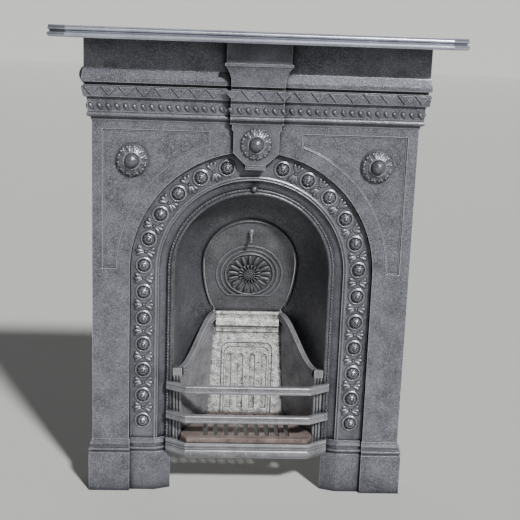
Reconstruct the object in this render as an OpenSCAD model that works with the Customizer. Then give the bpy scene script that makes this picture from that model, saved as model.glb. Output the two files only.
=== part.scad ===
// Arched cast-iron fireplace surround with mantel shelf, hood, damper and fire basket.
// Millimetres. X runs along the front, +Y into the wall, +Z up. The floor is z = 0.
// Every module is drawn with y = 0 at the face of the front panel, and placed() then
// moves it so that the origin lies under the middle of the whole part.

/* [Surround] */
// Width of the front panel, over the two legs
panel_w = 762; // [700:1:920]
// Height from the floor to the top of the mantel shelf
total_h = 1132; // [1080:1:1360]
// Depth of the side returns, from the panel face to the wall
wall_depth = 75; // [62:1:110]
// Thickness of the cast plates
plate_t = 8; // [6:0.5:10]

/* [Arch] */
// Radius of the arch where the panel is cut
arch_r = 292; // [285:1:330]
// Height of the arch's springing above the floor
spring_z = 566; // [540:1:620]
// Width of the studded band
band_w = 62; // [56:1:70]
// Depth of the studded band behind the panel face
band_in = 13; // [9:0.5:16]
// Spacing of the studs along the band
stud_pitch = 66; // [56:0.5:72]
// Radius of one stud
stud_r = 18.5; // [12:0.5:21]
// Studs on each side of the keystone
studs = 12; // [8:1:12]

/* [Plinth] */
// Height of the plinth blocks
plinth_h = 135; // [110:1:165]
// How far a plinth block stands proud
plinth_out = 9; // [6:0.5:12]

/* [Mantel shelf] */
// Width of the shelf plate, without its rolled edge
shelf_w = 940; // [850:1:1160]
// Overhang of the shelf in front of the panel face
shelf_out = 95; // [84:1:125]
// Height of the shelf's moulded edge
shelf_edge_h = 26; // [22:1:36]
// Thickness of the shelf plate
shelf_t = 10; // [8:0.5:14]
// Cut-back of the two front corners
shelf_cant = 44; // [20:1:60]

/* [Hood and register door] */
// Gap between two castings that are bolted together
seat_gap = 0.3; // [0.2:0.05:0.6]
// Depth of the register door's foot behind the panel face
register_y = 187; // [170:1:230]
// How far the closed door leans forward, in degrees
register_lean = 19; // [10:0.5:22]
// Half the door opening's widest width
round_half = 117; // [100:1:128]
// Length of the door opening, from its foot to its crown
crown_v = 268; // [240:1:276]
// Thickness of the door
door_t = 6; // [5:0.5:8]
// Running gap round the door
door_gap = 2; // [1.5:0.1:3]
// Radius of the door's hinge pin
pin_r = 3; // [2.5:0.1:4]
// Radial clearance of the hinge pin
pin_clear = 0.05; // [0.02:0.01:0.1]

/* [Fire basket] */
// Height of the grate's top face
grate_z = 150; // [130:1:170]
// Thickness of the grate
grate_t = 12; // [10:1:16]
// Overhang of the basket in front of the panel face
basket_out = 30; // [20:1:40]
// Half the length of the basket's straight front
basket_half = 152; // [120:1:156]
// Height of one front bar
bar_h = 20; // [16:1:26]
// Height of the lower bar's middle above the floor
bar_low_z = 200; // [190:1:205]
// Height of the upper bar's middle above the floor
bar_high_z = 276; // [255:1:284]
// Number of slots in the grate
slots = 9; // [5:2:9]
// Width of one slot
slot_w = 11.5; // [8:0.5:14]

/* [Hidden] */
$fn = 72;

iron = [0.36, 0.36, 0.38];
dark_iron = [0.24, 0.24, 0.26];
ash_iron = [0.62, 0.61, 0.59];
rust_iron = [0.42, 0.37, 0.35];
far = 2000;                                   // reach of a cutting shape

half_w = panel_w / 2;
body_top = total_h - shelf_t - seat_gap;      // the shelf plate sits here
shelf_low = total_h - shelf_edge_h;
edge_roll = 3;                                // the lower edge roll's extra overhang
shelf_wall = 14;
// Cornice heights, counted down from the shelf's lower edge
frieze_out = 16;
cove_top = shelf_low - 66;
fillet_top = shelf_low - 88;
zigzag_top = shelf_low - 103;
zigzag_low = shelf_low - 130;
bead_top = shelf_low - 140;
torus_top = shelf_low - 164;
torus_low = shelf_low - 177;
panel_top = shelf_low - 185;
key_half = 57;
corbel_half = 61.5;
key_out = 14;
rosette_r = 38;
rosette_in = 93.5;                            // rosette's middle, in from the panel's edge
rosette_seat = 5;                             // how far its back reaches into the plate
spandrel_in = 108;                            // sunk panel's inner edge, out from the middle
spandrel_margin = 24;                         // and its outer edge, in from the panel's edge

// Arch band, as radii from the arch's centre
band_inner_r = arch_r - band_w;
stud_row_r = arch_r - band_w / 2 - 2;
band_back = band_in + 7;
cove_r = band_inner_r - 7;
lip_r = cove_r - 20;                          // inner edge of the surround
rim_out_r = lip_r - 1;
rim_in_r = rim_out_r - 16;
cove_deep = band_in + 11;
cove_back = cove_deep + 4;
hood_y = cove_back + seat_gap;                // front of the hood's flange
flange_t = 6;
shell_t = 6;
hood_start = hood_y + 2;
hood_r = rim_in_r + 1.5;                      // the splay's own radius where it leaves the flange
plinth_in = lip_r - 13;                       // inner end of the plinth's splayed face
post_y = band_in - 3;                         // face of the basket's posts
rim_front = post_y + 2;                       // face of the hood's rolled rim
lug_z = shelf_low - 86;
lug_x = half_w + 25;
lug_hole_r = 4;
lug_r = 24;

// Register door: a plane that leans forward, hinged at its foot
foot_z = grate_z + 273;
neck_half = round_half - 30;
round_v = crown_v * 0.53;                     // height of the widest place in the plane
neck_v = round_v / sin(acos(neck_half / round_half));
door_w = -4;                                  // the door's face, before the hood's rear edge
hinge_v = 5;
ear_r = pin_r + 3;
hinge_w = door_w + door_t + ear_r + 0.5;
ear_t = 8;
ear_x = neck_half - 11;
medal_v = 113;
medal_r = 85;
medal_flat = 66;                              // from the medallion's middle down to its flat edge
knob_v = crown_v - 34;
petals = 16;
// Fireback
back_foot_y = register_y - 37;                // its face at the grate
back_top_y = register_y - 15;                 // its face under the ledge
ledge_z = foot_z - 63;
ledge_top = foot_z - 3.3;
ledge_half = 81.5;
flute_pitch = 31;
rear_y = register_y + 18;                     // rearmost face of the part
face_y = (shelf_out + edge_roll - rear_y) / 2;
// Cheeks: a straight wall in plan, from the post back to the fireback
post_w = 22;
post_out = rim_in_r - seat_gap;
post_in = post_out - post_w;
post_d = 14;
cheek_t = 8;
cheek_y0 = post_y + post_d;
cheek_back_half = 98;
cheek_angle = atan((post_in - cheek_back_half) / (back_foot_y - cheek_y0));
cheek_len = (back_foot_y - seat_gap - cheek_y0) / cos(cheek_angle) - cheek_t * tan(cheek_angle);
cheek_low = grate_z - 40;
capital_z = bar_high_z + 42;
scroll_w = 20;                                // rolled scroll along the cheek's top edge
scroll_out = 5;
cheek_steps = 20;
// Basket plan: straight in front, canted back to the posts at both ends
basket_end = rim_out_r - 1;
basket_end_y = post_y - 8;
bar_d = 12;
bar_end_y = rim_front + 0.5;                   // meets the shoulder of the hood's rolled rim
cant_angle = atan((basket_end_y + basket_out) / (basket_end - basket_half));
slot_pitch = (2 * basket_half - 74) / slots;
lip_top = grate_z - grate_t - seat_gap;
lip_low = lip_top - 39;

module placed() {
    translate([0, face_y, 0]) children();
}
module both_sides() {
    children();
    mirror([1, 0, 0]) children();
}

// Points of an arc in the drawing plane
function arc(cx, cy, r, from, to, n) =
    [for (i = [0:n]) [cx + r * cos(from + (to - from) * i / n), cy + r * sin(from + (to - from) * i / n)]];
function reversed(list) = [for (i = [len(list) - 1:-1:0]) list[i]];

// A face whose outward offset changes with height: outline is a list of [offset, z].
// It runs along X and faces -Y, filled back to y = depth.
module front_run(outline, half, depth) {
    low = outline[len(outline) - 1][1];
    high = outline[0][1];
    translate([-half, 0, 0]) rotate([90, 0, 90]) linear_extrude(2 * half)
        polygon(concat([[depth, high]], [for (p = outline) [-p[0], p[1]]], [[depth, low]]));
}
// The same outline on both ends at once, filled between them
module side_run(outline, half, front, back) {
    translate([0, back, 0]) rotate([90, 0, 0]) linear_extrude(back - front)
        polygon(concat([for (p = outline) [half + p[0], p[1]]],
                       reversed([for (p = outline) [-half - p[0], p[1]]])));
}

cornice = concat(
    [[frieze_out, body_top], [frieze_out, cove_top]],
    arc(frieze_out + 6, cove_top, 6, 180, 225, 3),
    [[frieze_out + 5, fillet_top], [frieze_out + 5, fillet_top - 9], [frieze_out - 2, fillet_top - 10],
     [frieze_out - 2, zigzag_top]],
    [[frieze_out + 2, zigzag_top - 1], [frieze_out + 3.5, (zigzag_top + zigzag_low) / 2],
     [frieze_out + 2, zigzag_low]],
    [[frieze_out - 6, zigzag_low - 3], [frieze_out - 6, bead_top], [frieze_out - 7, torus_top]],
    arc(frieze_out - 11, (torus_top + torus_low) / 2, (torus_top - torus_low) / 2, 90, -90, 6),
    [[2, torus_low - 1], [2, panel_top + 1], [0, panel_top]]);

plinth_line = concat(
    [[0.5, plinth_h], [2, plinth_h - 6]],
    arc(2, plinth_h - 11, 4, 75, -75, 4),
    [[3, plinth_h - 17], [3, plinth_h - 20]],
    arc(plinth_out - 4, plinth_h - 25, 4, 90, -60, 5),
    [[plinth_out - 4, plinth_h - 31], [plinth_out, plinth_h - 34], [plinth_out, 0]]);

// ---- arch helpers: a section swept up one leg, over the arch and down the other ----
module arch_outline(r, low) {
    translate([0, spring_z]) circle(r, $fn = 144);
    translate([-r, low]) square([2 * r, spring_z - low]);
}
module arch_sweep(low) {
    translate([0, 0, spring_z]) rotate([90, 0, 0]) rotate_extrude(angle = 180, $fn = 144) children();
    both_sides() translate([0, 0, low]) linear_extrude(spring_z - low) mirror([0, 1]) children();
}
// A drawing stood upright, from y = 0 back to y = depth
module upright(depth) {
    translate([0, depth, 0]) rotate([90, 0, 0]) linear_extrude(depth) children();
}

// One stud: a base ring, a hollow and a round middle
module stud() {
    rotate([90, 0, 0]) rotate_extrude() polygon(concat(
        [[0, -2], [stud_r, -2], [stud_r, 2]],
        arc(stud_r - 2, 2, 2, 0, 180, 4),
        arc(0, 1, stud_r - 4.5, 12, 62, 6),
        arc(0, stud_r * 0.5, stud_r * 0.33, 20, 75, 4),
        [[0, stud_r * 0.83]]));
}
function stud_at(k) = let (s = k * stud_pitch, q = stud_row_r * PI / 2)
    let (turn = s / stud_row_r * 180 / PI)
    s < q ? [stud_row_r * sin(turn), spring_z + stud_row_r * cos(turn)] : [stud_row_r, spring_z - (s - q)];

// Rosette: a shallow dome with a rolled rim and a round boss; r is its outer radius
module rosette() {
    boss = rosette_r * 0.44;
    rotate([90, 0, 0]) rotate_extrude() polygon(concat(
        [[0, -rosette_seat], [rosette_r, -rosette_seat], [rosette_r, 1]],
        arc(0, -rosette_r * 0.9, rosette_r * 1.34, 43, 70, 6),
        [[boss + 3, 15], [boss, 14]],
        arc(0, 14, boss, 0, 78, 6),
        [[0, 14 + boss]]));
}

// Sunk panel of one spandrel, bounded by a second arc; edge moves its outline inwards
module spandrel_cut(edge, deep) {
    translate([0, deep, 0]) rotate([90, 0, 0]) linear_extrude(deep + 1) difference() {
        translate([spandrel_in + edge, spring_z + 3 + edge])
            square([half_w - spandrel_margin - spandrel_in - 2 * edge,
                    panel_top - spring_z - 22 - 2 * edge]);
        translate([0, spring_z]) circle(arch_r + 32 + edge, $fn = 144);
    }
}

corbel_line = concat(
    [[12, body_top], [12, fillet_top + 44], [15.5, fillet_top + 43], [15.5, fillet_top + 37],
     [13, fillet_top + 35]],
    reversed([for (i = [0:6]) [13 * pow(i / 6, 2), fillet_top + 35 * i / 6]]));
module keystone() {
    drop = panel_top - 104;
    translate([0, plate_t, 0]) rotate([90, 0, 0]) linear_extrude(plate_t + key_out)
        polygon([[-key_half, panel_top + 1], [-key_half, panel_top - 12], [-key_half + 4, panel_top - 16],
                 [-key_half + 4, panel_top - 66], [-key_half + 9, panel_top - 70], [-26, drop + 13],
                 [-23, drop + 13], [-23, drop],
                 [23, drop], [23, drop + 13], [26, drop + 13],
                 [key_half - 9, panel_top - 70], [key_half - 4, panel_top - 66],
                 [key_half - 4, panel_top - 16], [key_half, panel_top - 12], [key_half, panel_top + 1]]);
}
module breakfront() {
    lower = [for (p = cornice) if (p[1] <= fillet_top) p];
    translate([0, -key_out, 0])
        front_run(concat([[frieze_out + 5, fillet_top + 1]], lower), corbel_half, key_out + 5);
    intersection() {
        translate([0, -key_out - frieze_out - 5, 0]) front_run(corbel_line, far, far / 2);
        side_run(corbel_line, corbel_half, -far / 2, 5);
    }
}

module plinth_outer() {
    difference() {
        intersection() {
            front_run(plinth_line, far, wall_depth);
            side_run(plinth_line, half_w, -far / 2, wall_depth);
            translate([arch_r - 2, -far / 2, 0]) cube([far, far, plinth_h]);
        }
        // hollow behind, like the leg above it
        translate([arch_r + plate_t, plate_t, -1]) cube([half_w - arch_r - 2 * plate_t, far, far]);
        translate([arch_r - 3, band_back + 2, -1]) cube([half_w - arch_r - plate_t + 3, far, far]);
    }
}
// Block under the studded band, with a splayed inner face
module plinth_inner() {
    intersection() {
        translate([0, band_in - 4, 0]) front_run(plinth_line, far, 2 * far);
        translate([plinth_in, -far / 2, 0]) cube([arch_r - 1 - plinth_in, far / 2 + band_back + 2, plinth_h]);
        translate([band_inner_r, band_in - 4, 0]) rotate([0, 0, -22]) front_run(plinth_line, far, far);
    }
}
module plinth_blocks() {
    both_sides() {
        plinth_outer();
        plinth_inner();
    }
}

module surround() {
    color(iron) placed() {
        difference() {
            union() {
                // front panel with its arch
                upright(plate_t) difference() {
                    translate([-half_w, 0]) square([2 * half_w, body_top]);
                    arch_outline(arch_r, -1);
                }
                // side returns and cornice, moulded on the front and both ends
                both_sides() translate([half_w - plate_t, 0, 0]) cube([plate_t, wall_depth, body_top]);
                intersection() {
                    front_run(cornice, half_w + 2 * frieze_out, wall_depth);
                    side_run(cornice, half_w, -far / 2, wall_depth);
                }
                breakfront();
            }
            both_sides() {
                spandrel_cut(0, 1.5);
                spandrel_cut(4, 3.2);
            }
            // the back is hollow behind the cornice and the legs
            translate([-half_w + plate_t, plate_t, -1]) cube([2 * half_w - 2 * plate_t, far, far]);
            translate([-half_w + plate_t, plate_t - frieze_out, zigzag_low])
                cube([2 * half_w - 2 * plate_t, far, far]);
        }
        keystone();
        // sunk studded band and the mouldings round the opening
        arch_sweep(plinth_h - 5) polygon(concat(
            [[arch_r + 8, 0], [arch_r, 0], [arch_r, -band_in], [arch_r - 2.5, -band_in + 3],
             [arch_r - 5, -band_in]],
            arc(band_inner_r, -band_in, 3.5, 0, 180, 4),
            [[cove_r, -band_in + 1]],
            [for (q = [0:15:90]) [lip_r + 2 + (cove_r - lip_r - 2) * cos(q),
                                  -band_in - (cove_deep - band_in) * sin(q)]],
            [[lip_r, -cove_deep], [lip_r, -cove_back], [cove_r + 4, -cove_back],
             [band_inner_r + 2, -band_back], [arch_r + 8, -band_back]]));
        for (k = [1:studs], side = [-1, 1])
            translate([side * stud_at(k)[0], band_in, stud_at(k)[1]]) stud();
        both_sides() translate([half_w - rosette_in, 0, panel_top - 90.5]) rosette();
        translate([0, -key_out, panel_top - 44]) rosette();
        plinth_blocks();
        // fixing lugs on the wall plane
        difference() {
            both_sides() translate([0, wall_depth - plate_t, 0]) {
                translate([half_w - plate_t, 0, lug_z - lug_r])
                    cube([lug_x - half_w + plate_t, plate_t, 2 * lug_r]);
                translate([lug_x - lug_r / 2, plate_t, lug_z]) rotate([90, 0, 0])
                    cylinder(h = plate_t, r = lug_r);
            }
            both_sides() translate([lug_x, wall_depth + 1, lug_z]) rotate([90, 0, 0])
                cylinder(h = plate_t + 2, r = lug_hole_r);
        }
    }
}

// ---- mantel shelf: a plate with a rolled edge and two canted front corners ----
shelf_edge = concat(
    [[0, total_h], [0, total_h - 3]],
    arc(-3, total_h - 7, 4, 60, -50, 4),
    [[-3, total_h - 12], [-3, total_h - 14]],
    arc(-2, shelf_low + 6, 5, 80, -60, 5),
    [[-1, shelf_low]]);
module shelf_form(outline) {
    half = shelf_w / 2;
    reach = (half - shelf_cant / 2 + shelf_out - shelf_cant / 2) / sqrt(2);
    intersection() {
        translate([0, -shelf_out, 0]) front_run(outline, far, shelf_out + wall_depth);
        side_run(outline, half, -far / 2, wall_depth);
        rotate([0, 0, 45]) translate([0, -reach, 0]) front_run(outline, far, far);
        rotate([0, 0, -45]) translate([0, -reach, 0]) front_run(outline, far, far);
    }
}
module mantel_shelf() {
    color(iron) placed() difference() {
        shelf_form(shelf_edge);
        // hollow below, open at the wall
        translate([0, 1, 0]) shelf_form([[-shelf_wall, total_h - shelf_t], [-shelf_wall, shelf_low - 1]]);
    }
}

// ---- arch hood: rolled rim, hidden flange, and a hollow splay back to the register ----
leg_rows = 8;                                 // rows up one leg
arch_rows = 32;                               // rows over the arch
splay_rows = 9;                               // steps from the rim back to the door
bowl = 0.45;                                  // 0 is a straight splay, 1 a round bowl
hood_low = capital_z - 80;                    // foot of the splay, hidden behind the cheeks
// A point of the register plane: u across, v up along it, w square to it and backwards
function on_register(u, v, w) =
    [u, register_y - v * sin(register_lean) + w * cos(register_lean),
     foot_z + v * cos(register_lean) + w * sin(register_lean)];
// Row i runs from the left foot over the crown to the right foot
rows = 2 * leg_rows + arch_rows;
waist = asin(round_v / neck_v);
function row_angle(i) =
    i < leg_rows ? 180 + waist * (1 - i / leg_rows)
    : i > leg_rows + arch_rows ? -waist * (i - leg_rows - arch_rows) / leg_rows
    : 180 * (1 - (i - leg_rows) / arch_rows);
function door_u(i, grow) = (round_half + grow) * cos(row_angle(i));
function door_v(i, grow) = let (q = sin(row_angle(i)))
    round_v + (q < 0 ? neck_v : crown_v - round_v + grow) * q;
function rim_point(i, grow) =
    i < leg_rows ? [-hood_r - grow, hood_start, hood_low + (spring_z - hood_low) * i / leg_rows]
    : i > leg_rows + arch_rows
        ? [hood_r + grow, hood_start, hood_low + (spring_z - hood_low) * (rows - i) / leg_rows]
    : [(hood_r + grow) * cos(row_angle(i)), hood_start, spring_z + (hood_r + grow) * sin(row_angle(i))];
function splay_point(i, j, grow) =
    let (s = j / splay_rows, a = rim_point(i, grow), b = on_register(door_u(i, grow), door_v(i, grow), 0),
         across = (1 - bowl) * s + bowl * (1 - cos(90 * s)), deep = (1 - bowl) * s + bowl * sin(90 * s))
    [a[0] + (b[0] - a[0]) * across, a[1] + (b[1] - a[1]) * deep, a[2] + (b[2] - a[2]) * across];
module splay_shell() {
    wide = splay_rows + 1;
    count = (rows + 1) * wide;
    function at(i, j, side) = side * count + i * wide + j;
    polyhedron(
        points = [for (side = [0, 1], i = [0:rows], j = [0:splay_rows]) splay_point(i, j, side * shell_t)],
        faces = concat(
            [for (i = [0:rows - 1], j = [0:splay_rows - 1]) each [
                [at(i, j, 0), at(i + 1, j, 0), at(i, j + 1, 0)],
                [at(i + 1, j, 0), at(i + 1, j + 1, 0), at(i, j + 1, 0)],
                [at(i, j, 1), at(i, j + 1, 1), at(i + 1, j, 1)],
                [at(i + 1, j, 1), at(i, j + 1, 1), at(i + 1, j + 1, 1)]]],
            [for (i = [0:rows - 1], e = [[0, 1], [splay_rows, 0]]) each [
                [at(i, e[0], e[1]), at(i + 1, e[0], e[1]), at(i, e[0], 1 - e[1])],
                [at(i + 1, e[0], e[1]), at(i + 1, e[0], 1 - e[1]), at(i, e[0], 1 - e[1])]]],
            [for (j = [0:splay_rows - 1], e = [[0, 0], [rows, 1]]) each [
                [at(e[0], j, e[1]), at(e[0], j + 1, e[1]), at(e[0], j, 1 - e[1])],
                [at(e[0], j, 1 - e[1]), at(e[0], j + 1, e[1]), at(e[0], j + 1, 1 - e[1])]]]));
}
module arch_hood() {
    color(dark_iron) placed() {
        arch_sweep(plinth_h + seat_gap) {
            translate([rim_in_r, -hood_y - flange_t]) square([cove_r - rim_in_r, flange_t]);
            translate([rim_in_r + 0.5, -hood_y - 1]) square([15, hood_y - rim_front - 4]);
            translate([rim_in_r + 5, -rim_front - 4.5]) circle(4.5, $fn = 24);
            translate([rim_out_r - 3.5, -rim_front - 4]) circle(3, $fn = 24);
            translate([rim_in_r + 5, -rim_front - 6]) square([7, 3]);
        }
        splay_shell();
        // small round lug at the crown
        translate([0, rim_front, spring_z + rim_out_r]) {
            sphere(8, $fn = 32);
            rotate([-90, 0, 0]) translate([0, 3, 0]) cylinder(h = 8, r = 5);
        }
    }
}

// ---- register door: a horseshoe plate with a cast medallion, hinged at its foot ----
module register_frame() {
    translate([0, register_y, foot_z]) rotate([90 + register_lean, 0, 0]) children();
}
module door_outline(by) {
    polygon([for (i = [0:rows]) [door_u(i, -by), max(1.5, door_v(i, -by))]]);
}
// A disc cut off flat at its foot; inset brings both edges inwards
module medal_cut(r, inset) {
    intersection() {
        circle(r - inset, $fn = 96);
        translate([-r, -medal_flat + inset]) square([2 * r, 2 * r]);
    }
}
module medal_ring(r, width, high) {
    linear_extrude(high) difference() {
        medal_cut(r, 0);
        medal_cut(r, width);
    }
}
module register_door() {
    knuckle_w = hinge_w - door_w - door_t;
    color(dark_iron) placed() register_frame() {
        // here +Z points forwards, out of the plate
        translate([0, 0, -door_w - door_t]) linear_extrude(door_t) door_outline(door_gap);
        translate([0, medal_v, -door_w - 0.5]) {
            medal_ring(medal_r, 3, 3);
            medal_ring(medal_r - 12, 3, 3.5);
            rotate_extrude($fn = 96) translate([medal_r - 24, 0]) circle(2.5, $fn = 16);
            for (k = [0:petals - 1]) rotate(k * 360 / petals) translate([24, -2.5, 0]) cube([31, 5, 3.5]);
            rotate_extrude() polygon([[0, 0], [17, 0], [16.5, 3], [15, 5.5], [12, 7.2], [7, 8], [0, 8.2]]);
        }
        // drooping handle above the medallion
        translate([0, knob_v, -door_w - 1]) rotate([35, 0, 0]) rotate_extrude()
            polygon([[0, -4], [9, -4], [8.5, 2], [6, 7], [4, 14], [3.6, 24], [4.4, 27], [3, 29.5],
                     [0, 30]]);
        // hinge pin and its two knuckles, behind the plate
        translate([0, hinge_v, -hinge_w]) {
            translate([-ear_x - ear_t - 0.5, 0, 0]) rotate([0, 90, 0])
                cylinder(h = 2 * (ear_x + ear_t) + 1, r = pin_r);
            both_sides() translate([ear_x - 16, 0, 0]) {
                rotate([0, 90, 0]) cylinder(h = 12, r = pin_r + 2);
                translate([0, -pin_r - 1, 0]) cube([12, 2 * pin_r + 2, knuckle_w + 0.5]);
            }
        }
    }
}

// ---- fireback: a slab that leans back a little, ribbed and flued, under a moulded ledge ----
back_lean = atan((back_top_y - back_foot_y) / (ledge_z - grate_z));
ledge_line = [[0, ledge_top], [3, ledge_top], [4.5, ledge_top - 5], [3, ledge_top - 10], [3, ledge_top - 15],
    [6, ledge_top - 17], [11, ledge_top - 24], [13, ledge_top - 34], [11, ledge_top - 37],
    [6, ledge_top - 39], [6, ledge_top - 44], [10, ledge_top - 46], [10, ledge_top - 52],
    [5, ledge_top - 54], [5, ledge_z]];
module back_face() {
    // the leaning face, drawn flat: x across, y up from the grate
    translate([0, back_foot_y, grate_z + seat_gap]) rotate([90 - back_lean, 0, 0]) children();
}
module groove(half, high, width, deep) {
    translate([0, 0, -deep]) linear_extrude(far) difference() {
        round_top(half, high);
        round_top(half - width, high - width);
    }
}
module round_top(half, high) {
    corner = half * 0.3;
    translate([-half, -20]) square([2 * half, high + 20 - corner]);
    translate([-half + corner, high - corner - 1]) square([2 * half - 2 * corner, corner + 1]);
    for (side = [-1, 1]) translate([side * (half - corner), high - corner]) circle(corner, $fn = 32);
}
module fireback() {
    foot_half = cheek_back_half + 10;
    top_half = ledge_half + 5;
    face_h = (ledge_z - grate_z) / cos(back_lean);
    color(ash_iron) placed() {
        difference() {
            intersection() {
                translate([0, back_foot_y, grate_z + seat_gap]) rotate([90 - back_lean, 0, 0])
                    translate([0, 0, -18]) linear_extrude(18)
                    polygon([[-foot_half, -30], [foot_half, -30],
                             [top_half, face_h + 80], [-top_half, face_h + 80]]);
                translate([-far / 2, 0, grate_z + seat_gap]) cube([far, far, ledge_top - grate_z - 1]);
            }
            back_face() {
                groove(68, face_h - 22, 4, 3);
                groove(60, face_h - 34, 3, 2);
                for (k = [-1.5:1.5]) translate([k * flute_pitch, 0, -4]) linear_extrude(far) {
                    translate([-8, 12]) square([16, face_h - 72]);
                    translate([0, face_h - 60]) circle(8, $fn = 32);
                }
            }
        }
        // moulded ledge
        difference() {
            translate([0, back_top_y + 5, 0]) front_run(ledge_line, ledge_half, rear_y - back_top_y - 5);
            // hollow behind
            translate([-ledge_half + 12, back_top_y + 14, ledge_z - 1])
                cube([2 * ledge_half - 24, far, ledge_top - ledge_z - 8]);
        }
        // ears that carry the door's hinge pin
        axis = on_register(0, hinge_v, hinge_w);
        both_sides() difference() {
            union() {
                translate([ear_x, axis[1], axis[2]]) rotate([0, 90, 0]) cylinder(h = ear_t, r = ear_r);
                translate([ear_x, axis[1] - 3, ledge_top - 4])
                    cube([ear_t, ear_r + 3, axis[2] - ledge_top + 4]);
            }
            translate([ear_x - 1, axis[1], axis[2]]) rotate([0, 90, 0])
                cylinder(h = ear_t + 2, r = pin_r + pin_clear);
        }
    }
}

// ---- cheeks: side walls of the basket with a scrolled top edge and a reeded post ----
function ease(s) = s * s * (3 - 2 * s);
// The rear edge leans back with the fireback
function cheek_end(z) = cheek_len + (z - grate_z) * tan(back_lean) / cos(cheek_angle);
top_len = cheek_end(ledge_top);
function cheek_top(u) = capital_z + (ledge_top - 1 - capital_z) * ease(min(1, max(0, u / top_len)));
function along(i) = top_len * i / cheek_steps;
module cheek_frame() {
    // x back along the wall, y up; +Z points into the basket
    translate([-post_in, cheek_y0, 0])
        rotate([0, 0, 90 - cheek_angle]) rotate([90, 0, 0]) children();
}
module cheek_left() {
    color(iron) placed() {
        cheek_frame() difference() {
            union() {
                translate([0, 0, -cheek_t]) linear_extrude(cheek_t) polygon(concat(
                    [[-2, cheek_low], [cheek_end(cheek_low), cheek_low]],
                    [for (i = [cheek_steps:-1:0]) [along(i), cheek_top(along(i))]],
                    [[-2, capital_z]]));
                // raised scroll along the top edge
                translate([0, 0, -cheek_t]) linear_extrude(cheek_t + scroll_out) polygon(concat(
                    [for (i = [0:cheek_steps]) [along(i), cheek_top(along(i))]],
                    [[cheek_end(ledge_top - scroll_w), cheek_top(top_len) - scroll_w]],
                    [for (i = [cheek_steps - 1:-1:0]) [along(i), cheek_top(along(i)) - scroll_w]]));
                // rib that carries the grate
                translate([10, grate_z - grate_t - seat_gap - 10, -1]) cube([cheek_len - 24, 10, 10]);
            }
            // two grooves in the scroll
            for (down = [5, 13]) translate([0, 0, scroll_out / 2]) linear_extrude(far) polygon(concat(
                [for (i = [-1:cheek_steps + 1]) [along(i), cheek_top(along(i)) - down]],
                [for (i = [cheek_steps + 1:-1:-1]) [along(i), cheek_top(along(i)) - down - 2.5]]));
        }
        post();
    }
}
module post() {
    reed = post_w / 3;
    translate([-post_out, post_y, 0]) {
        translate([0, 4, cheek_low]) cube([post_w, post_d - 4, capital_z - cheek_low]);
        for (k = [0:2]) translate([(k + 0.5) * reed, 4, cheek_low + 16])
            cylinder(h = capital_z - cheek_low - 32, r = reed / 2 - 0.2, $fn = 24);
        translate([0, 0, cheek_low]) cube([post_w, post_d, 18]);
        translate([0, 0, capital_z - 18]) cube([post_w, post_d, 18]);
    }
}
module cheek_right() {
    mirror([1, 0, 0]) cheek_left();
}

// ---- basket front: canted rails in front of the posts ----
module canted_form(outline) {
    // outline offsets are measured out from the basket's plan
    intersection() {
        translate([0, -basket_out, 0]) front_run(outline, far, far);
        translate([basket_half, -basket_out, 0]) rotate([0, 0, cant_angle]) front_run(outline, far, far);
        translate([-basket_half, -basket_out, 0]) rotate([0, 0, -cant_angle]) front_run(outline, far, far);
    }
}
module canted_rail(outline, thick, end_y) {
    low = outline[len(outline) - 1][1];
    high = outline[0][1];
    intersection() {
        difference() {
            canted_form(outline);
            canted_form([[-thick, high + 1], [-thick, low - 1]]);
        }
        translate([-basket_end, -far, low]) cube([2 * basket_end, far + end_y, high - low]);
    }
}
function bar_line(z) = concat(
    [[-3, z + bar_h / 2]], arc(-3, z + bar_h / 2 - 3.5, 3.5, 80, -60, 4),
    [[-1.5, z + 2], [-1.5, z - 2]], arc(-3, z - bar_h / 2 + 3.5, 3.5, 60, -80, 4), [[-3, z - bar_h / 2]]);
module upper_bar() {
    color(iron) placed() canted_rail(bar_line(bar_high_z), bar_d, bar_end_y);
}
module lower_bar() {
    color(iron) placed() canted_rail(bar_line(bar_low_z), bar_d, bar_end_y);
}

lip_line = concat(
    [[-1, lip_top]], arc(-2, lip_top - 5, 4, 70, -60, 4), [[-2, lip_top - 12], [-2, lip_top - 15]],
    [for (q = [90:-15:-45]) [-8 + 9 * cos(q), lip_top - 26 + 11 * sin(q)]], [[-5, lip_low]]);
module bottom_lip() {
    color(iron) placed() difference() {
        intersection() {
            canted_rail(lip_line, 9, post_y - seat_gap);
            translate([-basket_end, -far, 0]) cube([2 * basket_end, 2 * far, far]);
        }
        both_sides() translate([-seat_gap, -seat_gap, seat_gap]) plinth_inner();
        both_sides() translate([-seat_gap, -seat_gap, 0]) plinth_inner();
    }
}

// ---- bottom grate: a slotted plate between the cheeks ----
module bottom_grate() {
    front = basket_out - 6;
    side = post_in - 0.5;
    rear_half = cheek_back_half - 0.5;
    color(rust_iron) placed() translate([0, 0, grate_z - grate_t]) linear_extrude(grate_t) difference() {
        polygon([[-basket_half + 4, -front], [basket_half - 4, -front],
                 [side, post_y - 4 - front * 0.4], [side, cheek_y0], [rear_half, back_foot_y],
                 [rear_half, back_foot_y + 14], [-rear_half, back_foot_y + 14], [-rear_half, back_foot_y],
                 [-side, cheek_y0], [-side, post_y - 4 - front * 0.4]]);
        for (k = [-(slots - 1) / 2:(slots - 1) / 2]) let (x = k * slot_pitch)
            translate([x, 0]) {
                translate([-slot_w / 2, 0]) square([slot_w, slot_end(x)]);
                for (y = [0, slot_end(x)]) translate([0, y]) circle(slot_w / 2, $fn = 24);
            }
    }
}
function slot_end(x) = min(back_foot_y - 14, cheek_y0 + (post_in - 22 - abs(x)) / tan(cheek_angle));

surround();
mantel_shelf();
arch_hood();
register_door();
fireback();
cheek_left();
cheek_right();
upper_bar();
lower_bar();
bottom_grate();
bottom_lip();
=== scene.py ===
import math

import bmesh
import bpy
from mathutils import Matrix, Vector


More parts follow.
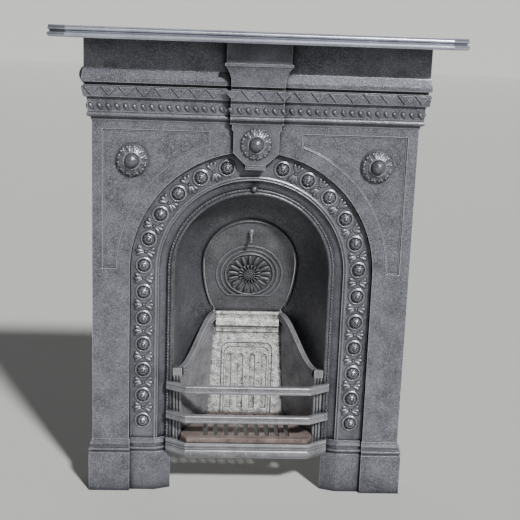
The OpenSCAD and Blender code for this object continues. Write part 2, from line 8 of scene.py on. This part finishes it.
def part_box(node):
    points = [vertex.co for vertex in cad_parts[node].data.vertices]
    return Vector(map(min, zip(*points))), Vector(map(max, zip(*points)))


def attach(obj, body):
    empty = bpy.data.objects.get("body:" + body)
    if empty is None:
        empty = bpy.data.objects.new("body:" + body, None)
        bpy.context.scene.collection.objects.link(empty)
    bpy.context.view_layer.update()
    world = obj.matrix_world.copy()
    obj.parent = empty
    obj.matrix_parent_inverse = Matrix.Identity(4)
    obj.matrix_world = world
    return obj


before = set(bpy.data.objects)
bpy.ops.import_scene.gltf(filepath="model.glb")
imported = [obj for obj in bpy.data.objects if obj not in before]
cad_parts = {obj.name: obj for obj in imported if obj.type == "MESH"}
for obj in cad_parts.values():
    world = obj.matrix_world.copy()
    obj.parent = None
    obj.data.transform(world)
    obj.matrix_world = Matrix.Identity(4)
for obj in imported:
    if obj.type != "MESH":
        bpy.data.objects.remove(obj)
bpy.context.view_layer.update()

MM = 0.001

# ---- places, worked out from the frame ----
wall_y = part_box("surround")[1].y
face_y = wall_y - 75 * MM                      # face of the front panel
shelf_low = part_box("mantel_shelf")[0].z        # underside of the shelf's edge
half_panel = 381 * MM
panel_top = shelf_low - 185 * MM
spring_z = 566 * MM                            # the arch's centre
stud_row = 259 * MM                            # radius of the row of studs
stud_pitch = 66 * MM
studs = 12                                     # on each side of the keystone
band_y = face_y + 13 * MM                      # face of the sunk studded band
key_half = 61.5 * MM                           # half the cornice's middle block
key_out = 14 * MM                              # how far it stands forward
rosette_in = 93.5 * MM                         # rosette's middle, in from the panel's edge
rosette_down = 90.5 * MM                       # and down from the panel's top
key_rosette_down = 44 * MM                     # the same for the keystone's rosette
door_foot_y = face_y + 187 * MM                # foot of the register door
door_foot_z = 423 * MM
door_lean = 19                                 # degrees forward


# ---- materials ----
def linear(hex_colour):
    """An sRGB hex colour as linear RGBA."""
    parts = [int(hex_colour[k:k + 2], 16) / 255 for k in (1, 3, 5)]
    return [p / 12.92 if p <= 0.04045 else ((p + 0.055) / 1.055) ** 2.4 for p in parts] + [1.0]


def add(tree, kind, inputs=None, **settings):
    """Adds one node. Each input is a value, or another node's output to link."""
    node = tree.nodes.new(kind)
    for name, value in settings.items():
        setattr(node, name, value)
    for name, value in (inputs or {}).items():
        if isinstance(value, bpy.types.NodeSocket):
            tree.links.new(value, node.inputs[name])
        else:
            node.inputs[name].default_value = value
    return node


def per(size_mm):
    """Texture scale for features about that many millimetres wide."""
    return 1000 / size_mm


def cast_iron(name, deep, face, bright, grain_mm, grain_high, cloud_mm, rough, wear, metal, shade):
    """Cast iron with old polish and painted shade in its hollows, painted shade under deep overhangs, a
    worked face, and rubbed edges.

    deep, face (a dark and a light) and bright are its colours; deep also stands for the painted shade.
    rough is the roughness of its edges, face and hollows, wear is how bright its edges are rubbed,
    and shade is how much colour the painted shade under a deep overhang leaves.
    """
    material = bpy.data.materials.new(name)
    material.use_nodes = True
    tree = material.node_tree
    tree.nodes.clear()
    place = add(tree, "ShaderNodeTexCoord").outputs["Object"]
    edge_rough, face_rough, hollow_rough = rough

    # darker in the hollows: old black polish that stays there, and painted shade
    closed = add(tree, "ShaderNodeAmbientOcclusion", {"Distance": 16 * MM}, samples=8).outputs["AO"]
    clean_and_unshaded = add(tree, "ShaderNodeMapRange",
                    {"Value": closed, "From Min": 0.30, "From Max": 0.90}).outputs["Result"]
    # and painted shade under deep overhangs, such as the shelf's shadow on the frieze
    under = add(tree, "ShaderNodeAmbientOcclusion", {"Distance": 110 * MM}, samples=6).outputs["AO"]
    overhang_shade = add(tree, "ShaderNodeMapRange", {"Value": under, "From Min": 0.30, "From Max": 0.78,
                                               "To Min": shade, "To Max": 1.0}).outputs["Result"]
    clean_and_unshaded = add(tree, "ShaderNodeMath", {0: clean_and_unshaded, 1: overhang_shade}, operation="MULTIPLY").outputs[0]

    # handling and the wire brush brighten the edges
    rounded = add(tree, "ShaderNodeBevel", {"Radius": 1.6 * MM}, samples=6).outputs["Normal"]
    true_normal = add(tree, "ShaderNodeNewGeometry").outputs["Normal"]
    agree = add(tree, "ShaderNodeVectorMath", {0: rounded, 1: true_normal},
                operation="DOT_PRODUCT").outputs["Value"]
    edge = add(tree, "ShaderNodeMapRange", {"Value": agree, "From Min": 0.985, "From Max": 0.82,
                                            "To Min": 0.0, "To Max": wear}).outputs["Result"]
    rubbed = add(tree, "ShaderNodeMath", {0: edge, 1: clean_and_unshaded}, operation="MULTIPLY").outputs[0]

    # cloudy patches from the brush, sand grain from the mould, and small casting pits
    cloud = add(tree, "ShaderNodeTexNoise", {"Vector": place, "Scale": per(cloud_mm), "Detail": 7.0,
                                             "Roughness": 0.65}).outputs["Fac"]
    patch = add(tree, "ShaderNodeMapRange",
                {"Value": cloud, "From Min": 0.36, "From Max": 0.66}).outputs["Result"]
    grain = add(tree, "ShaderNodeTexNoise", {"Vector": place, "Scale": per(grain_mm), "Detail": 3.0,
                                             "Roughness": 0.6}).outputs["Fac"]
    pits = add(tree, "ShaderNodeTexVoronoi",
               {"Vector": place, "Scale": per(grain_mm * 4)}).outputs["Distance"]
    high_grain = add(tree, "ShaderNodeMapRange", {"Value": grain, "From Min": 0.50, "From Max": 0.78,
                                                  "To Max": 0.55}).outputs["Result"]
    low_grain = add(tree, "ShaderNodeMapRange", {"Value": grain, "From Min": 0.46, "From Max": 0.28,
                                                 "To Max": 0.55}).outputs["Result"]

    colour = linear(face[0])
    for factor, above in ((patch, face[1]), (high_grain, bright), (low_grain, deep)):
        colour = add(tree, "ShaderNodeMix", {0: factor, 6: colour, 7: linear(above)},
                     data_type="RGBA").outputs[2]
    # hollows and overhangs take the deep colour: old polish, and painted shade
    colour = add(tree, "ShaderNodeMix", {0: clean_and_unshaded, 6: linear(deep), 7: colour},
                 data_type="RGBA").outputs[2]
    colour = add(tree, "ShaderNodeMix", {0: rubbed, 6: colour, 7: linear(bright)},
                 data_type="RGBA").outputs[2]

    shine = add(tree, "ShaderNodeMapRange", {"Value": clean_and_unshaded, "To Min": hollow_rough,
                                             "To Max": face_rough}).outputs["Result"]
    for factor, change in ((patch, -0.08), (rubbed, edge_rough - face_rough)):
        shine = add(tree, "ShaderNodeMath", {0: factor, 1: change, 2: shine},
                    operation="MULTIPLY_ADD").outputs[0]

    bump = add(tree, "ShaderNodeBevel", {"Radius": 0.5 * MM}, samples=4).outputs["Normal"]
    for height, high_mm, strength in ((cloud, 1.2, 0.35), (pits, grain_high, 0.35),
                                      (grain, grain_high, 0.7)):
        bump = add(tree, "ShaderNodeBump", {"Height": height, "Distance": high_mm * MM,
                                            "Strength": strength, "Normal": bump}).outputs["Normal"]
    shader = add(tree, "ShaderNodeBsdfPrincipled", {"Base Color": colour, "Roughness": shine,
                                                    "Metallic": metal, "Normal": bump})
    add(tree, "ShaderNodeOutputMaterial", {"Surface": shader.outputs["BSDF"]})
    return material


# Grain and pits are drawn coarser than the sand of a real mould, which would be too fine to show.
# Sand-cast iron, black-leaded and then wire-brushed: a grey metal sheen, bright edges, hollows black
# with old polish and painted shade, and painted shade black under the shelf (shade 0)
front_iron = cast_iron("black_leaded_cast_iron", deep="#12141c", face=("#494a51", "#72737c"),
                       bright="#f2f3f8", grain_mm=1.5, grain_high=0.40, cloud_mm=55,
                       rough=(0.22, 0.33, 0.62), wear=1.0, metal=0.5, shade=0.0)
# The shelf is rubbed most: the same iron, smoother and rubbed paler; its bluish tint is a painted
# reflection of the sky
shelf_iron_sky_sheen = cast_iron("burnished_cast_iron_sky_sheen", deep="#1a1c24", face=("#9a9ca8", "#c6cad8"),
                       bright="#f0f4ff", grain_mm=1.5, grain_high=0.25, cloud_mm=90,
                       rough=(0.22, 0.34, 0.55), wear=0.9, metal=0.7, shade=0.5)
# The hood stands over the fire: the same iron, smoked darker
hood_iron = cast_iron("smoked_cast_iron", deep="#08090c", face=("#36373b", "#525358"),
                      bright="#e0e2e8", grain_mm=1.6, grain_high=0.35, cloud_mm=60,
                      rough=(0.26, 0.38, 0.68), wear=1.0, metal=0.45, shade=0.7)
# The register door and the bead round it: the same smoked iron, dusted grey by the flue
door_iron = cast_iron("dusted_cast_iron", deep="#141416", face=("#444447", "#646468"),
                      bright="#d0d2d8", grain_mm=1.6, grain_high=0.35, cloud_mm=60,
                      rough=(0.34, 0.5, 0.68), wear=1.0, metal=0.4, shade=0.9)
# Fireback: burnt, coarse and pale, with ash in its surface and no polish
burnt_iron = cast_iron("burnt_cast_iron", deep="#0c0c10", face=("#6a6968", "#cfcecc"),
                       bright="#ffffff", grain_mm=4.0, grain_high=3.0, cloud_mm=16,
                       rough=(0.34, 0.48, 0.85), wear=1.0, metal=0.35, shade=0.9)
# Basket: brushed iron that has been hot, a warmer grey
basket_iron = cast_iron("brushed_cast_iron", deep="#101014", face=("#626266", "#8e8e92"),
                        bright="#ececf0", grain_mm=1.6, grain_high=0.4, cloud_mm=40,
                        rough=(0.24, 0.36, 0.66), wear=1.0, metal=0.45, shade=0.6)
# Grate: dull iron with a thin brown rust
grate_iron = cast_iron("rusted_cast_iron", deep="#0d0b0a", face=("#5a4d4a", "#8a7a74"),
                       bright="#b8aea6", grain_mm=2.0, grain_high=0.6, cloud_mm=30,
                       rough=(0.45, 0.6, 0.85), wear=0.6, metal=0.3, shade=0.8)

NODE_IRON = {"surround": front_iron, "mantel_shelf": shelf_iron_sky_sheen, "arch_hood": hood_iron,
             "register_door": door_iron, "fireback": burnt_iron, "cheek_left": basket_iron,
             "cheek_right": basket_iron, "upper_bar": basket_iron, "lower_bar": basket_iron,
             "bottom_lip": basket_iron, "bottom_grate": grate_iron}
for node_name, iron in NODE_IRON.items():
    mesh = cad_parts[node_name].data
    if not mesh.materials:
        mesh.materials.append(iron)
    for k in range(len(mesh.materials)):
        mesh.materials[k] = iron


# ---- modelling helpers ----
def facing(x, y, z, turn=0.0):
    """A place on the front: local x across, y up and z towards the room, turned clockwise by turn."""
    return (Matrix.Translation((x, y, z)) @ Matrix.Rotation(math.pi / 2, 4, "X")
            @ Matrix.Rotation(-turn, 4, "Z"))


def shift(x, y, z):
    """A move in millimetres."""
    return Matrix.Translation((x * MM, y * MM, z * MM))


def spun(degrees, axis="Z"):
    """A turn about one axis."""
    return Matrix.Rotation(math.radians(degrees), 4, axis)


def lens(shape, place, half_sizes, around=8, along=6):
    """An egg of the given half sizes in millimetres."""
    size = Matrix.Diagonal([half * MM for half in half_sizes] + [1])
    bmesh.ops.create_uvsphere(shape, u_segments=around, v_segments=along, radius=1,
                              matrix=place @ size)


def leaf(shape, place, length, width, high, around=8, along=6):
    """A leaf from its root at the place out along local x: fuller near its tip."""
    made = bmesh.ops.create_uvsphere(shape, u_segments=around, v_segments=along, radius=1,
                                     matrix=spun(90, "Y"))["verts"]
    for vert in made:
        reach = (vert.co.x + 1) / 2
        full = 0.45 + 0.75 * reach
        vert.co = Vector((reach * length, vert.co.y * width * full, vert.co.z * high * full)) * MM
    bmesh.ops.transform(shape, matrix=place, verts=made)


def ring(shape, place, radius, thick, steps):
    """A round ring in the place's own plane; radius and thick are in millimetres."""
    loop = bmesh.new()
    verts = bmesh.ops.create_circle(loop, segments=6, radius=thick * MM,
                                    matrix=shift(radius, 0, 0) @ spun(90, "X"))["verts"]
    bmesh.ops.spin(loop, geom=verts + loop.edges[:], cent=(0, 0, 0), axis=(0, 0, 1),
                   angle=math.tau, steps=steps, use_merge=True)
    bmesh.ops.transform(loop, matrix=place, verts=loop.verts)
    joined = bpy.data.meshes.new("ring")
    loop.to_mesh(joined)
    loop.free()
    shape.from_mesh(joined)
    bpy.data.meshes.remove(joined)


def bar(shape, start, end, thick, sides):
    """A straight bar between two points; thick is its half width in millimetres."""
    along = end - start
    place = (Matrix.Translation((start + end) / 2)
             @ along.to_track_quat("Z", "Y").to_matrix().to_4x4())
    bmesh.ops.create_cone(shape, segments=sides, radius1=thick * MM, radius2=thick * MM,
                          depth=along.length, cap_ends=True, matrix=place)


def swept(shape, places, thick):
    """A round bead carried along a row of places, with closed ends."""
    last = None
    for place in places:
        verts = bmesh.ops.create_circle(shape, cap_ends=False, segments=8, radius=thick * MM,
                                        matrix=place)["verts"]
        edges = list(dict.fromkeys(edge for vert in verts for edge in vert.link_edges))
        if last:
            bmesh.ops.bridge_loops(shape, edges=last + edges)
        else:
            bmesh.ops.contextual_create(shape, geom=verts)
        last = edges
    bmesh.ops.contextual_create(shape, geom=verts)


def piece(name, shape, iron, body="frame"):
    """Closes and smooths a shape, gives it its finish, and hangs it on its body."""
    bmesh.ops.remove_doubles(shape, verts=shape.verts, dist=0.005 * MM)
    bmesh.ops.recalc_face_normals(shape, faces=shape.faces)
    # a ball's faces are listed in another order each run, so they are put in one order here
    shape.verts.index_update()
    count = len(shape.verts)

    def order(face):
        first, second, third = sorted(vert.index for vert in face.verts)[:3]
        return (first * count + second) * count + third

    shape.faces.sort(key=order)
    mesh = bpy.data.meshes.new(name)
    shape.to_mesh(mesh)
    shape.free()
    mesh.shade_smooth()
    mesh.set_sharp_from_angle(angle=math.radians(50))
    mesh.materials.append(iron)
    item = bpy.data.objects.new(name, mesh)
    bpy.context.scene.collection.objects.link(item)
    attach(item, body)


def on_arch(distance, radius, y):
    """A place on the arch and down its legs, that far from the crown; local y points outwards."""
    quarter = radius * math.pi / 2
    side = -1 if distance < 0 else 1
    run = abs(distance)
    turn = min(run, quarter) / radius
    return facing(side * radius * math.sin(turn), y,
                  spring_z + radius * math.cos(turn) - max(0, run - quarter), side * turn)


# ---- rosettes: a row of leaves with two-lobed tips, inside a fine ring ----
def rosette(name, place):
    """Twelve leaves down the slope of a dome."""
    shape = bmesh.new()
    for k in range(12):
        spoke = place @ spun(k * 30 + 15)
        leaf(shape, spoke @ shift(18, 0, 13.2) @ spun(33, "Y"), 19, 6.0, 3.6, 12, 8)
        for side in (-1, 1):
            lobe = spoke @ spun(side * 6.5) @ shift(33, 0, 4.4) @ spun(33, "Y")
            lens(shape, lobe, (4.2, 3.2, 3))
    ring(shape, place @ shift(0, 0, 14.6), 20.3, 1.0, 48)
    piece(name, shape, front_iron)


rosette_x = half_panel - rosette_in
rosette_z = panel_top - rosette_down
rosette("rosette_left", facing(-rosette_x, face_y, rosette_z))
rosette("rosette_right", facing(rosette_x, face_y, rosette_z))
rosette("rosette_keystone", facing(0, face_y - key_out, panel_top - key_rosette_down))

# ---- studs: eight fat petals in each base ring ----
shape = bmesh.new()
for k in range(1, studs + 1):
    for side in (-1, 1):
        stud = on_arch(side * k * stud_pitch, stud_row, band_y)
        ring(shape, stud @ shift(0, 0, 1.4), 18.4, 2.1, 32)
        for petal in range(8):
            spoke = stud @ spun(petal * 45 + 22.5)
            lens(shape, spoke @ shift(10.6, 0, 7.0) @ spun(42, "Y"), (5.2, 3.9, 2.6))
piece("stud_petals", shape, front_iron)

# ---- palmettes between the studs: three leaves outwards and three inwards from a bead ----
shape = bmesh.new()
for k in range(1, studs):
    for side in (-1, 1):
        middle = on_arch(side * (k + 0.5) * stud_pitch, stud_row, band_y)
        lens(shape, middle, (3.6, 3.6, 3.6))
        for way in (90, -90):
            for lean in (0, 28, -28):
                leaf(shape, middle @ spun(way + lean) @ shift(3, 0, 0), 22, 5.2, 3.6)
piece("band_palmettes", shape, front_iron)


# ---- tooth and bead rows of the cornice, along the front, the middle block and the returns ----
def cornice_runs(out_mm):
    """Each straight run at that offset: its start, direction, length and outward direction."""
    out = out_mm * MM
    reach = half_panel + out
    front = face_y - out
    rightwards, backwards = Vector((1, 0, 0)), Vector((0, 1, 0))
    wing = reach - key_half - out
    yield Vector((-reach, front, 0)), rightwards, wing, -backwards
    yield Vector((-key_half - out, front - key_out, 0)), rightwards, 2 * (key_half + out), -backwards
    yield Vector((key_half + out, front, 0)), rightwards, wing, -backwards
    yield Vector((reach, front, 0)), backwards, wall_y - front, rightwards
    yield Vector((-reach, wall_y, 0)), -backwards, wall_y - front, -rightwards


def turned_out(start, ahead, out):
    """A place on a run: local x along it, y up and z outwards."""
    up = Vector((0, 0, 1))
    across = ahead if ahead.cross(up).dot(out) > 0 else -ahead
    return Matrix.Translation(start) @ Matrix((across, up, out)).transposed().to_4x4()


shape = bmesh.new()
tooth_high = 22 * MM
tooth_z = shelf_low - 113.5 * MM
for start, ahead, length, out in cornice_runs(18.8):
    count = round(length / (42 * MM))
    width = length / count
    for k in range(count):
        # a tooth hanging from the fillet, with sloped sides
        middle = start + ahead * (width * (k + 0.5)) + Vector((0, 0, tooth_z)) + out * 0.6 * MM
        size = Matrix.Diagonal((width / math.sqrt(3), tooth_high / 1.5, 1, 1))
        bmesh.ops.create_cone(shape, segments=3, radius1=1, radius2=0.82, depth=5.6 * MM,
                              cap_ends=True, matrix=turned_out(middle, ahead, out) @ size @ spun(180))
piece("cornice_teeth", shape, front_iron)

shape = bmesh.new()
bead_z = shelf_low - 153 * MM
for start, ahead, length, out in cornice_runs(9.5):
    count = round(length / (20.6 * MM))
    for k in range(count):
        # a slanting bead, fuller at one end
        middle = start + ahead * (length * (k + 0.5) / count) + Vector((0, 0, bead_z))
        leaf(shape, turned_out(middle, ahead, out) @ spun(128) @ shift(-9, 0, 0), 18, 5.4, 5.0)
piece("cornice_beads", shape, front_iron)

# ---- keystone's thin double line ----
shape = bmesh.new()
key_foot = panel_top - 104 * MM
line_half = 19 * MM
for up in (5 * MM, 10 * MM):
    bar(shape, Vector((-line_half, face_y - key_out, key_foot + up)),
        Vector((line_half, face_y - key_out, key_foot + up)), 1.4, 4)
piece("keystone_lines", shape, front_iron)

# ---- rope along the hood's outer rolled edge ----
shape = bmesh.new()
rope_r = 198.5 * MM
rope_y = face_y + 14.6 * MM
rope_foot = 140 * MM
whole = math.pi * rope_r + 2 * (spring_z - rope_foot)
strands = round(whole / (7.5 * MM))
for k in range(strands):
    strand = on_arch(whole * (k + 0.5) / strands - whole / 2, rope_r, rope_y)
    lens(shape, strand @ spun(38), (5.2, 2.2, 2.4), 6, 4)
piece("hood_rope", shape, hood_iron)

# ---- bead round the register opening, on the hood's rear edge ----
door_place = Matrix.Translation((0, door_foot_y, door_foot_z)) @ spun(90 + door_lean, "X")
shape = bmesh.new()
steps = 60
opening = []
for k in range(steps + 1):
    # round over the crown, and drawn in like a horseshoe below
    angle = math.radians(-36 + 252 * k / steps)
    rise = 127 if 0 < angle < math.pi else 212
    opening.append(Vector((118 * math.cos(angle), 142 + rise * math.sin(angle), 6.5)))
places = []
for k, point in enumerate(opening):
    ahead = (opening[min(k + 1, steps)] - opening[max(k - 1, 0)]).normalized()
    places.append(door_place @ Matrix.Translation(point * MM)
                  @ ahead.to_track_quat("Z", "Y").to_matrix().to_4x4())
swept(shape, places, 2.3)
piece("register_bead", shape, door_iron)

# ---- sunflower on the register door ----
shape = bmesh.new()
flower = door_place @ shift(0, 113, 4)
petals = 17
for k in range(petals):
    spoke = flower @ spun(k * 360 / petals + 5)
    between = flower @ spun((k + 0.5) * 360 / petals + 5)
    leaf(shape, spoke @ shift(22, 0, 2.4), 34, 5.6, 4.6, 10, 7)
    leaf(shape, between @ shift(14, 0, 5.5) @ spun(8, "Y"), 16, 3.2, 3.2)
for seeds, radius in ((6, 4.5), (11, 9.0), (16, 13.4)):
    for k in range(seeds):
        lens(shape, flower @ spun(k * 360 / seeds) @ shift(radius, 0, 7.0), (2.2, 2.0, 2.0))
ring(shape, flower @ shift(0, 0, 2.2), 61, 1.8, 64)
piece("door_sunflower", shape, door_iron, "door")

# ---- fine beads that edge the sunk spandrels ----
shape = bmesh.new()
inner, outer, sweep = 108 * MM, 357 * MM, 324 * MM
corner_low, corner_high = 569 * MM, 902 * MM
first = math.asin(inner / sweep)
last = math.acos((corner_low - spring_z) / sweep)
for side in (-1, 1):
    line = []
    for k in range(41):
        angle = first + (last - first) * k / 40
        line.append((sweep * math.sin(angle), spring_z + sweep * math.cos(angle)))
    line += [(outer, corner_low), (outer, corner_high), (inner, corner_high), line[0]]
    for start, end in zip(line, line[1:]):
        bar(shape, Vector((side * start[0], face_y, start[1])),
            Vector((side * end[0], face_y, end[1])), 1.5, 6)
piece("spandrel_beads", shape, front_iron)

# ---- stage: a pale paper floor, and the same paper far behind ----
floor_shape = bmesh.new()
bmesh.ops.create_grid(floor_shape, x_segments=1, y_segments=1, size=40)
floor_mesh = bpy.data.meshes.new("floor")
floor_shape.to_mesh(floor_mesh)
floor_shape.free()
paper = bpy.data.materials.new("pale_paper")
paper.use_nodes = True
paper_shader = paper.node_tree.nodes["Principled BSDF"]
paper_shader.inputs["Base Color"].default_value = linear("#b4b4b1")
paper_shader.inputs["Roughness"].default_value = 0.9
floor_mesh.materials.append(paper)
floor = bpy.data.objects.new("floor", floor_mesh)
bpy.context.scene.collection.objects.link(floor)
backdrop_mesh = floor_mesh.copy()
backdrop_mesh.transform(Matrix.Translation((0, 30, 0)) @ spun(90, "X"))
backdrop = bpy.data.objects.new("backdrop", backdrop_mesh)
bpy.context.scene.collection.objects.link(backdrop)

# ---- light: a key from high on the right, and a weak cool sky to fill ----
key_light = bpy.data.lights.new("key", "SUN")
key_light.energy = 6.2
key_light.angle = math.radians(5)
key_item = bpy.data.objects.new("key", key_light)
key_way = Vector((-1.25, 2.45, -2.15))
key_item.matrix_world = key_way.to_track_quat("-Z", "Y").to_matrix().to_4x4()
bpy.context.scene.collection.objects.link(key_item)
studio = bpy.data.worlds.new("studio")
studio.use_nodes = True
sky = studio.node_tree.nodes["Background"]
sky.inputs["Color"].default_value = linear("#d4d8e6")
sky.inputs["Strength"].default_value = 0.10
bpy.context.scene.world = studio

# ---- camera: at the shelf's height, looking down a little and tipped slightly ----
CAMERA_PLACE = (-0.0998, -2.3634, 1.130)
YAW, PITCH, ROLL = 0.05127, -0.22573, 0.03530
look = Vector((math.sin(YAW) * math.cos(PITCH), math.cos(YAW) * math.cos(PITCH), math.sin(PITCH)))
level = Vector((math.cos(YAW), -math.sin(YAW), 0))
upright = level.cross(look)
right = level * math.cos(ROLL) + upright * math.sin(ROLL)
top = upright * math.cos(ROLL) - level * math.sin(ROLL)
camera = bpy.data.objects.new("camera", bpy.data.cameras.new("camera"))
camera.data.lens = 68.55
camera.data.sensor_width = 36
camera.matrix_world = (Matrix.Translation(CAMERA_PLACE)
                       @ Matrix((right, top, -look)).transposed().to_4x4())
bpy.context.scene.collection.objects.link(camera)
bpy.context.scene.camera = camera
